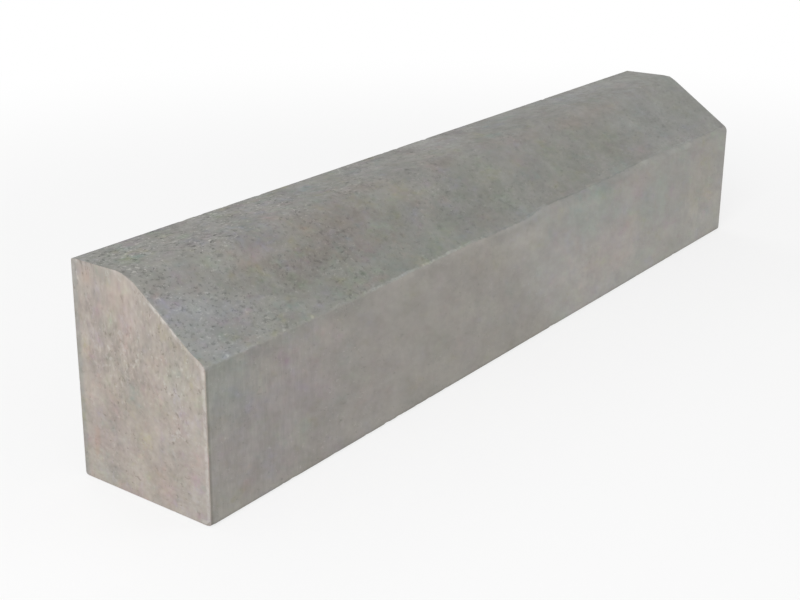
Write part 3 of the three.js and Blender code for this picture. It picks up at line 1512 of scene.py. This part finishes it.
def drawn_along(tree, x, y, z, press, slant):
    """The place on the stone with its length pressed together: markings then run along it.

    A slant lets them sink towards the right end.
    """
    along = calc(tree, "MULTIPLY", x, calc(tree, "MULTIPLY_ADD", x, PRESS_CHANGE, press))
    height = calc(tree, "MULTIPLY_ADD", x, slant, z)
    drawn = add_node(tree, "ShaderNodeCombineXYZ", {"X": along, "Y": y, "Z": height})
    return drawn.outputs["Vector"]


def rough_concrete(tree, groups, finish, place, x, y, z):
    """The rough top and splay: strongest in grain at the left end and on the level top."""
    drawn = drawn_along(tree, x, y, z, ROUGH_PRESS, ROUGH_SLANT)
    coarse_end = ramp(tree, x, *COARSE_END)
    over_top = ramp(tree, y, *TOP_ACROSS)
    over_top = product(tree, over_top, ramp(tree, x, *TOP_ALONG))
    grain_over_top = product(tree, over_top, ramp(tree, x, *TOP_GRAIN))
    on_top = calc(tree, "MULTIPLY_ADD", grain_over_top, TOP_GRAIN_GAIN, 1.0)
    pits_on_top = calc(tree, "MULTIPLY_ADD", grain_over_top, TOP_PIT_GAIN, 1.0)
    cloud_on_top = calc(tree, "MULTIPLY_ADD", over_top, TOP_CLOUD_GAIN, 1.0)
    cast = place_group(
        tree,
        groups["cast"],
        position=drawn,
        colour=finish.weathered,
        cloud_amount=product(tree, cloud_on_top, 0.148),
        grit_amount=product(tree, coarse_end, on_top, 0.115),
        tint_amount=product(tree, ramp(tree, x, *ROUGH_TINT), ramp(tree, x, *ROUGH_TINT_END)),
        grain_size=0.0032,
        pit_level=0.572,
        pit_amount=product(tree, coarse_end, pits_on_top, 0.38),
        pit_colour=finish.pit,
        grain_level=0.60,
        grain_amount=product(tree, coarse_end, on_top, 0.25),
        grain_colour=finish.sand,
        hole_spacing=0.0080,
        hole_radius=0.28,
        hole_share=0.42,
        hole_amount=product(tree, coarse_end, 0.34),
    )
    colour = patched(tree, groups, place, cast["Colour"], SPLAY_PATCHES)
    # Painted shade in and round the two open holes of the splay.
    return spotted(tree, place, colour, SPLAY_HOLE_SHADES, HOLE_SHADE_TONE), cast["Height"]


def formed_concrete(tree, groups, finish, place, x, y, z):
    """The front, back and base, as the mould left them."""
    drawn = drawn_along(tree, x, y, z, FORMED_PRESS, FORMED_SLANT)
    fine_end = ramp(tree, x, *FINE_END)
    cast = place_group(
        tree,
        groups["cast"],
        position=drawn,
        colour=finish.formed,
        cloud_amount=product(tree, ramp(tree, x, *FORMED_CLOUD), ramp(tree, x, *FORMED_CLOUD_END)),
        grit_amount=product(tree, fine_end, 0.030),
        tint_amount=product(tree, ramp(tree, x, *FORMED_TINT), ramp(tree, x, *FORMED_TINT_END)),
        grain_size=0.0026,
        pit_level=0.62,
        pit_amount=product(tree, fine_end, 0.20),
        pit_colour=finish.pit,
        grain_level=0.64,
        grain_amount=product(tree, fine_end, 0.18),
        grain_colour=finish.sand,
        hole_share=0.30,
        hole_amount=0.25,
    )
    colour = patched(tree, groups, place, cast["Colour"], FRONT_PATCHES)
    strokes = streaks(tree, groups, place, width=0.0035, stretch=0.22)
    on_left, on_right = ramp(tree, x, *STROKES_LEFT), ramp(tree, x, *STROKES_RIGHT)
    stroke_amount = calc(tree, "ADD", on_left, on_right)
    colour = scaled(tree, colour, calc(tree, "MULTIPLY_ADD", strokes, stroke_amount, 1.0))
    paler = ramp(tree, calc(tree, "ADD", x, z), *PALER)
    colour = tone_by(tree, colour, paler, PALER_TONE)
    foot = ramp(tree, z, *FOOT)
    return tone_by(tree, colour, foot, FOOT_TONE), cast["Height"]


def nose_line(tree, colour, run, x, y):
    """The line along the nose: a thin pale lip, partly painted highlight, over a painted soft
    shadow, both broken here and there.
    """
    along = add_node(tree, "ShaderNodeCombineXYZ", {"X": x}).outputs["Vector"]
    gaps = noise_node(tree, along, *NOSE_GAP_NOISE).outputs["Fac"]
    in_front = ramp(tree, y, *NOSE_ACROSS)
    left = ramp(tree, x, *NOSE_LEFT)
    lifted = calc(tree, "MULTIPLY_ADD", left, NOSE_LEFT_LIFT, run)
    below = product(tree, ramp(tree, run, *SHADOW_START), ramp(tree, lifted, *SHADOW_END))
    unshaded = band(tree, x, *SHADOW_GAP)
    below = product(tree, below, calc(tree, "SUBTRACT", 1.0, unshaded), in_front)
    colour = tone_by(tree, colour, below, SHADOW_TONE)
    deeper = product(tree, below, band(tree, x, *DEEPER_SHADOW))
    colour = tone_by(tree, colour, deeper, DEEPER_SHADOW_TONE)
    # A thin line of painted shade just under the lip.
    ends = calc(tree, "MAXIMUM", left, ramp(tree, x, *UNDER_LIP_SHADE_RIGHT))
    breaks = ramp(tree, gaps, *UNDER_LIP_SHADE_BREAKS)
    dark = product(tree, band(tree, run, *UNDER_LIP_SHADE), breaks, ends, in_front)
    colour = tone_by(tree, colour, dark, UNDER_LIP_SHADE_TONE)
    # The pale lip: partly the lip's own paler concrete, partly painted highlight along the nose.
    lit = ramp(tree, gaps, *LIP_BREAKS)
    strength = LIP_STRENGTH
    for centre, reach, light in NOSE_LIGHTS:
        share = band(tree, x, centre, reach * LIGHT_CORE, reach * LIGHT_RIM)
        strength = calc(tree, "MULTIPLY_ADD", share, light, strength)
    pale = product(tree, band(tree, run, *LIP), lit, strength, in_front)
    return tone_by(tree, colour, pale, LIP_AND_HIGHLIGHT_TONE)


def long_face_material(groups, finish):
    """Top, splay, front, back and base."""
    material, tree, place = new_material("Kerb long faces")
    axes = add_node(tree, "ShaderNodeSeparateXYZ", {"Vector": place}).outputs
    x, y, z = axes["X"], axes["Y"], axes["Z"]
    nose_run = attribute(tree, "nose_run")
    back_run = attribute(tree, "back_run")
    arris = attribute(tree, "arris")
    hollow = attribute(tree, "hollow")
    chip = attribute(tree, "chip")

    rough_colour, rough_height = rough_concrete(tree, groups, finish, place, x, y, z)
    formed_colour, formed_height = formed_concrete(tree, groups, finish, place, x, y, z)

    wobble = noise_node(tree, place, *LONG_RIM_NOISE).outputs["Fac"]
    ragged = shaken(tree, nose_run, wobble, NOSE_RAGGEDNESS)
    over_nose = ramp(tree, ragged, *NOSE_BORDER)
    over_back = ramp(tree, back_run, *BACK_BORDER)
    share = calc(tree, "MULTIPLY", over_nose, over_back)
    colour = blend(tree, share, formed_colour, rough_colour)
    colour = nose_line(tree, colour, ragged, x, y)
    colour = spotted(tree, place, colour, NOSE_GRAINS, NOSE_GRAIN_TONE)
    colour = patched(tree, groups, place, colour, NOSE_PATCHES)

    # A thin line of painted shade along the back edge.
    back_shade_line = product(tree, band(tree, back_run, *BACK_SHADE_LINE), ramp(tree, y, *BACK_ACROSS))
    colour = tone_by(tree, colour, back_shade_line, BACK_SHADE_LINE_TONE)
    below_nose = ramp(tree, nose_run, *BELOW_NOSE)
    end_gap = calc(tree, "ADD", x, HALF_LENGTH)
    left_edge = product(tree, ramp(tree, end_gap, *LEFT_EDGE), below_nose)
    colour = tone_by(tree, colour, left_edge, LEFT_EDGE_TONE)
    # A pale rim along the left end of the top and splay: partly worn arris, partly painted
    # highlight, strongest in the middle of the splay.
    mid_splay = band(tree, y, *MID_SPLAY)
    rim_light = calc(tree, "MULTIPLY_ADD", mid_splay, LEFT_RIM_LIGHT, LEFT_RIM_LEAST)
    left_rim = product(tree, ramp(tree, end_gap, *LEFT_RIM), share, rim_light)
    colour = blend(tree, left_rim, colour, finish.worn_and_highlit)
    worn_and_highlit = place_group(
        tree, groups["wear"], position=place, distance=arris, reach=WEAR_REACH
    )["Mask"]
    past_nose = ramp(tree, calc(tree, "ABSOLUTE", nose_run), *PAST_NOSE)
    colour = tone_by(tree, colour, calc(tree, "MULTIPLY", worn_and_highlit, past_nose), WORN_TONE)
    colour = tone_by(tree, colour, calc(tree, "MULTIPLY", chip, CHIP_SHARE), CHIP_TONE)
    # Painted shade inside the carved air holes.
    depth = calc(tree, "MULTIPLY_ADD", share, ROUGH_HOLLOW_SHADE, FORMED_HOLLOW_SHADE)
    colour = tone_by(tree, colour, product(tree, hollow, depth), HOLLOW_SHADE_TONE)

    height = blend_numbers(tree, share, formed_height, rough_height)
    roughness = calc(tree, "MULTIPLY_ADD", share, ADDED_ROUGHNESS, FORMED_ROUGHNESS)
    roughness = calc(tree, "MULTIPLY_ADD", wobble, ROUGHNESS_SWING, roughness, clamp=True)
    finish_material(tree, colour, roughness, height)
    return material


def end_material(groups, finish):
    """Both ends."""
    material, tree, place = new_material("Kerb ends")
    axes = add_node(tree, "ShaderNodeSeparateXYZ", {"Vector": place}).outputs
    x, y, z = axes["X"], axes["Y"], axes["Z"]
    arris = attribute(tree, "arris")
    hollow = attribute(tree, "hollow")
    chip = attribute(tree, "chip")
    specks = patch_mask(tree, groups, place, *END_SPECKS)
    strokes = patch_mask(tree, groups, place, *END_STROKES)
    height = calc(tree, "MULTIPLY", z, calc(tree, "MULTIPLY_ADD", z, END_PRESS_CHANGE, END_PRESS))
    across = calc(tree, "MULTIPLY", y, END_ACROSS)
    pressed = add_node(tree, "ShaderNodeCombineXYZ", {"X": x, "Y": across, "Z": height})
    drawn_down = pressed.outputs["Vector"]
    upper = ramp(tree, z, *UPPER_END)
    # The ends' colour is partly painted light: paler than the front, though it is the same
    # concrete.
    cast = place_group(
        tree,
        groups["cast"],
        position=drawn_down,
        colour=finish.end,
        cloud_size=0.022,
        cloud_amount=0.19,
        grit_amount=product(tree, upper, 0.10),
        tint_amount=0.062,
        grain_size=0.0034,
        pit_level=0.61,
        pit_amount=0.28,
        pit_colour=finish.end_pit,
        grain_level=0.62,
        grain_amount=product(tree, upper, 0.20),
        grain_colour=finish.sand,
        hole_share=0.2,
        hole_amount=product(tree, upper, 0.45),
    )
    colour = patched(tree, groups, place, cast["Colour"], END_PATCHES)
    fibres = streaks(tree, groups, place, width=0.0048, stretch=0.34)
    fibre_amount = calc(tree, "MULTIPLY_ADD", strokes, FIBRE_GAIN, ramp(tree, z, *FIBRE_FADE))
    colour = scaled(tree, colour, calc(tree, "MULTIPLY_ADD", fibres, fibre_amount, 1.0))
    brown = grain_mask(tree, groups, drawn_down, size=0.0048, level=0.60)
    gathered = calc(tree, "MAXIMUM", specks, product(tree, strokes, BROWN_STROKES))
    colour = blend(tree, product(tree, brown, gathered, BROWN_SHARE), colour, finish.end_pit)
    beside = vector_calc(tree, "ADD", drawn_down, LIGHT_OFFSET)
    light = grain_mask(tree, groups, beside, size=0.0042, level=0.56)
    light = product(tree, light, calc(tree, "MAXIMUM", specks, strokes), LIGHT_SHARE)
    colour = blend(tree, light, colour, finish.worn_and_highlit)

    wobble = noise_node(tree, place, *END_RIM_NOISE).outputs["Fac"]
    # A ragged strip of painted shade along the back edge.
    end_back_shade = ramp(tree, shaken(tree, y, wobble, END_BACK_SHADE_RAGGEDNESS), *END_BACK_SHADE)
    colour = tone_by(tree, colour, end_back_shade, END_BACK_SHADE_TONE)
    # Pale rims along the top and the splay: partly worn arris, partly painted highlight.
    roof_side = ramp(tree, z, *ROOF_SIDE)
    before_roof = ramp(tree, y, *FRONT_SIDE)
    front_side = product(tree, before_roof, calc(tree, "SUBTRACT", 1.0, roof_side))
    pale_bits = ramp(tree, wobble, *ROOF_BREAKS)
    mid_splay = band(tree, y, *END_MID_SPLAY)
    rim_light = calc(tree, "MULTIPLY_ADD", mid_splay, ROOF_LIGHT, ROOF_LEAST)
    pale_bits = product(tree, pale_bits, rim_light)
    roof_rim = product(tree, band(tree, arris, *ROOF_RIM), roof_side, pale_bits)
    colour = blend(tree, roof_rim, colour, finish.worn_and_highlit)
    # A pale rim beside the front: partly worn arris, partly painted highlight.
    broken = ramp(tree, wobble, *FRONT_BREAKS)
    front_rim = product(tree, band(tree, arris, *FRONT_RIM), front_side, broken)
    colour = blend(tree, front_rim, colour, finish.worn_and_highlit)
    front_edge = product(tree, ramp(tree, arris, *FRONT_EDGE), front_side)
    colour = tone_by(tree, colour, front_edge, FRONT_EDGE_TONE)
    colour = tone_by(tree, colour, calc(tree, "MULTIPLY", chip, CHIP_SHARE), END_CHIP_TONE)
    # Painted shade inside the carved air holes.
    colour = tone_by(tree, colour, hollow, END_HOLLOW_SHADE_TONE)
    height = calc(tree, "MULTIPLY_ADD", fibres, FIBRE_RISE, cast["Height"])
    roughness = calc(tree, "MULTIPLY_ADD", fibres, FIBRE_ROUGHNESS, END_ROUGHNESS)
    finish_material(tree, colour, roughness, height)
    return material


# ---------------------------------------------------------------- stage

# Floor: how far its opening stays inside the stone's edges, how far it lies below the base, and
# from where to where its own shading gives way to white.
OPENING_MARGIN = 6 * MM
FLOOR_DROP = 0.2 * MM
FLOOR_FADE = (0.6, 1.7, 0.70, 1.0)
FLOOR_ROUGHNESS = 0.9

# Lamps as name, place, side and the setting that holds their power. They face the stone's middle.
LAMP_TARGET = (0.0, 0.0, 0.1)
LAMPS = (
    ("Key lamp", (-2.9, -1.1, 2.0), 1.8, "key_power"),
    ("Fill lamp", (2.0, -2.6, 1.6), 2.0, "fill_power"),
    ("Back lamp", (1.2, 3.0, 2.0), 2.0, "back_power"),
)

SENSOR_WIDTH = 36.0
NEAREST_SEEN = 0.05
FARTHEST_SEEN = 100.0


def seen_white(tree):
    """1 for rays by which the camera sees something straight on, mirrored or through glass."""
    path = add_node(tree, "ShaderNodeLightPath").outputs
    seen = calc(tree, "MAXIMUM", path["Is Camera Ray"], path["Is Glossy Ray"])
    return calc(tree, "MAXIMUM", seen, path["Is Transmission Ray"])


def floor_material(stage):
    """Pale floor: white to the camera with the stone's shadow on it, clear from underneath."""
    material, tree, place = new_material("Studio floor")
    seen = seen_white(tree)
    distance = vector_calc(tree, "LENGTH", place)
    fade = ramp(tree, distance, *FLOOR_FADE)
    paint = {"Base Color": stage.floor_colour, "Roughness": FLOOR_ROUGHNESS}
    plain = add_node(tree, "ShaderNodeBsdfPrincipled", paint).outputs["BSDF"]
    glow = {"Color": WHITE, "Strength": 1.0}
    white = add_node(tree, "ShaderNodeEmission", glow).outputs["Emission"]
    clear = add_node(tree, "ShaderNodeBsdfTransparent").outputs["BSDF"]
    whiteness = calc(tree, "MULTIPLY", seen, fade)
    mixed = add_node(tree, "ShaderNodeMixShader", {0: whiteness, 1: plain, 2: white})
    below = add_node(tree, "ShaderNodeNewGeometry").outputs["Backfacing"]
    sided = add_node(tree, "ShaderNodeMixShader", {0: below, 1: mixed.outputs["Shader"], 2: clear})
    output = add_node(tree, "ShaderNodeOutputMaterial")
    tree.links.new(sided.outputs["Shader"], output.inputs["Surface"])
    return material


def build_floor(stage, sizes):
    """A floor with an opening under the stone, through which its base can be seen from below."""
    bm = bmesh.new()
    bmesh.ops.create_grid(bm, x_segments=1, y_segments=1, size=0.5)
    opening = (sizes.length - 2 * OPENING_MARGIN, sizes.width - 2 * OPENING_MARGIN, 1.0)
    bmesh.ops.scale(bm, vec=opening, verts=bm.verts)
    inner = bm.faces[:]
    drawn = bmesh.ops.extrude_edge_only(bm, edges=bm.edges[:])
    rim = [part for part in drawn["geom"] if isinstance(part, bmesh.types.BMVert)]
    for vertex in rim:
        vertex.co.x = math.copysign(stage.floor_size / 2, vertex.co.x)
        vertex.co.y = math.copysign(stage.floor_size / 2, vertex.co.y)
    bmesh.ops.delete(bm, geom=inner, context="FACES_ONLY")
    for face in bm.faces:
        if face.normal.z < 0.0:
            face.normal_flip()
    bmesh.ops.translate(bm, verts=bm.verts, vec=(0.0, 0.0, -FLOOR_DROP))
    floor = new_object("studio_floor", bm)
    floor.data.materials.append(floor_material(stage))
    return floor


def new_object(name, bm):
    """Turns a bmesh into an object at the origin."""
    mesh = bpy.data.meshes.new(name)
    bm.to_mesh(mesh)
    bm.free()
    built = bpy.data.objects.new(name, mesh)
    bpy.context.scene.collection.objects.link(built)
    return built


def add_lamp(name, place, size, power):
    """A square soft lamp that faces the stone."""
    data = bpy.data.lights.new(name, "AREA")
    data.shape = "SQUARE"
    data.size = size
    data.energy = power
    lamp = bpy.data.objects.new(name, data)
    lamp.location = place
    gaze = Vector(LAMP_TARGET) - Vector(place)
    lamp.rotation_euler = gaze.to_track_quat("-Z", "Y").to_euler()
    bpy.context.scene.collection.objects.link(lamp)


def build_world(stage):
    """Even light from all round, white where the camera sees it."""
    world = bpy.data.worlds.new("Studio")
    world.use_nodes = True
    tree = world.node_tree
    tree.nodes.clear()
    seen = seen_white(tree)
    sky = {"Color": WHITE, "Strength": stage.sky_strength}
    light = add_node(tree, "ShaderNodeBackground", sky)
    backdrop = add_node(tree, "ShaderNodeBackground", {"Color": WHITE, "Strength": 1.0})
    sides = {0: seen, 1: light.outputs["Background"], 2: backdrop.outputs["Background"]}
    mixed = add_node(tree, "ShaderNodeMixShader", sides)
    output = add_node(tree, "ShaderNodeOutputWorld")
    tree.links.new(mixed.outputs["Shader"], output.inputs["Surface"])
    bpy.context.scene.world = world


def add_camera(stage):
    """The camera at the height and angle from which the stone is shown."""
    data = bpy.data.cameras.new("Camera")
    data.lens = stage.camera_lens
    data.sensor_width = SENSOR_WIDTH
    data.shift_x, data.shift_y = stage.camera_shift
    data.clip_start = NEAREST_SEEN
    data.clip_end = FARTHEST_SEEN
    camera = bpy.data.objects.new("Camera", data)
    quarter = math.pi / 2
    turn = Matrix.Rotation(stage.camera_heading - quarter, 4, "Z")
    tilt = Matrix.Rotation(quarter - stage.camera_dip, 4, "X")
    roll = Matrix.Rotation(stage.camera_roll, 4, "Z")
    camera.matrix_world = Matrix.Translation(stage.camera_place) @ turn @ tilt @ roll
    bpy.context.scene.collection.objects.link(camera)
    bpy.context.scene.camera = camera


# ---------------------------------------------------------------- operators


class KERB_OT_stone(Operator):
    """Build the cast stone and hide the plain CAD block it stands for"""

    bl_idname = "kerb.build_stone"
    bl_label = "Kerb stone"

    def execute(self, context):
        sizes = context.scene.kerb_sizes
        relief = context.scene.kerb_relief
        bm = raw_block(sizes)
        round_edges(bm, sizes)
        cut_surface(bm, sizes)
        for face in bm.faces:
            face.smooth = True
            face.material_index = 1 if is_end(face) else 0
        carve_relief(bm, sizes, relief)
        keep_in_box(bm, NODE_LOW, NODE_HIGH)
        bm.normal_update()
        if any(not edge.is_manifold for edge in bm.edges):
            raise RuntimeError("the stone's surface is not closed")
        stone = new_object(STONE_NAME, bm)
        groups = build_groups()
        stone.data.materials.append(long_face_material(groups, context.scene.kerb_finish))
        stone.data.materials.append(end_material(groups, context.scene.kerb_finish))
        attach(stone, BODY)
        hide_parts(CAD_NODE)
        return {"FINISHED"}


class KERB_OT_stage(Operator):
    """Build the floor, the lamps, the sky and the camera"""

    bl_idname = "kerb.build_stage"
    bl_label = "Stage"

    def execute(self, context):
        stage = context.scene.kerb_stage
        floor = build_floor(stage, context.scene.kerb_sizes)
        for name, place, size, power in LAMPS:
            add_lamp(name, place, size, getattr(stage, power))
        build_world(stage)
        add_camera(stage)
        context.scene.view_settings.view_transform = "Standard"
        return {"FINISHED"}


class KERB_PT_panel(Panel):
    """Lists what can be built, and its settings"""

    bl_label = "Kerb Stone"
    bl_idname = "KERB_PT_panel"
    bl_space_type = "VIEW_3D"
    bl_region_type = "UI"
    bl_category = "Kerb Stone"

    def draw(self, context):
        layout = self.layout
        for step in STEPS:
            layout.operator(step.bl_idname)
        for name in SETTINGS:
            group = getattr(context.scene, name)
            box = layout.box()
            for prop in group.bl_rna.properties:
                if prop.identifier not in ("rna_type", "name"):
                    box.prop(group, prop.identifier)


STEPS = (KERB_OT_stage, KERB_OT_stone)
SETTINGS = {
    "kerb_sizes": KerbSizes,
    "kerb_relief": KerbRelief,
    "kerb_finish": KerbFinish,
    "kerb_stage": KerbStage,
}


def register():
    for group in SETTINGS.values():
        bpy.utils.register_class(group)
    for step in STEPS:
        bpy.utils.register_class(step)
    bpy.utils.register_class(KERB_PT_panel)
    for name, group in SETTINGS.items():
        setattr(bpy.types.Scene, name, PointerProperty(type=group))


def unregister():
    for name in SETTINGS:
        delattr(bpy.types.Scene, name)
    bpy.utils.unregister_class(KERB_PT_panel)
    for step in reversed(STEPS):
        bpy.utils.unregister_class(step)
    for group in reversed(SETTINGS.values()):
        bpy.utils.unregister_class(group)


def main():
    register()
    bpy.ops.kerb.build_stage()
    bpy.ops.kerb.build_stone()


if __name__ == "__main__":
    main()
